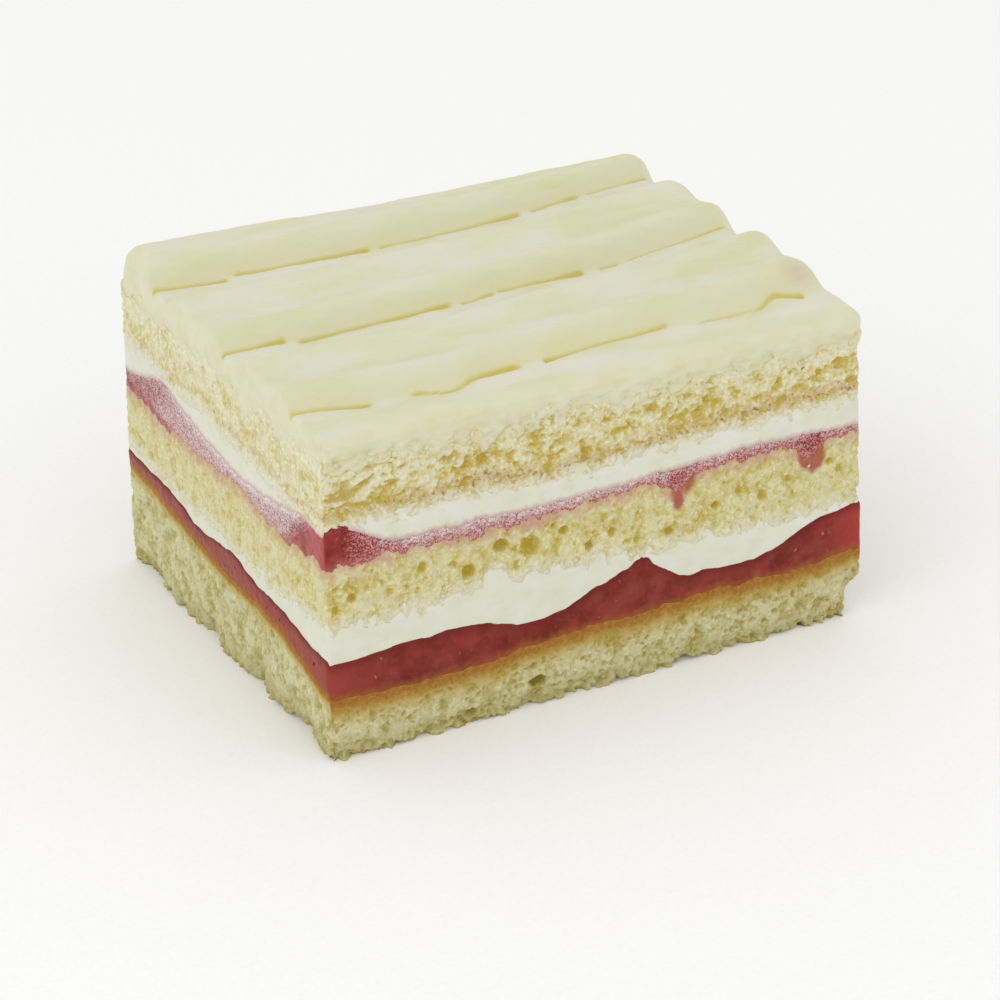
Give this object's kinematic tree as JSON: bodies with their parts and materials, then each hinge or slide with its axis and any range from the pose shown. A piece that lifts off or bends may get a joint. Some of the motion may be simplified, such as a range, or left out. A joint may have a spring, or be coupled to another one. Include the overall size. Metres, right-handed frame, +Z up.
{
  "type": "strawberry shortcake",
  "caption": "Rectangular cut block of layered sponge, whipped cream and strawberry filling under a thick icing combed into long ridges; stands on its flat foot.",
  "frame": {"origin": "middle of the block's bounding box, at the foot it stands on", "axes": "+X along the longer cut face, left to right; +Y from the front face to the back; +Z up"},
  "size_m": [0.1424, 0.113, 0.0855],
  "materials": {
    "sponge": "pale yellow open crumb, matte, browned to gold where the baked skin was",
    "filling": "strawberry gel, satin to glossy, part of it under white frost",
    "cream": "smooth whipped cream, off-white, matte",
    "icing": "smooth whipped icing, pale cream yellow, soft satin"
  },
  "bodies": {
    "root": {"sponge_bottom": "sponge", "strawberry_lower": "filling", "cream_lower": "cream", "sponge_middle": "sponge", "strawberry_upper": "filling", "cream_upper": "cream", "sponge_top": "sponge", "icing_top": "icing"}
  },
  "joints": []
}
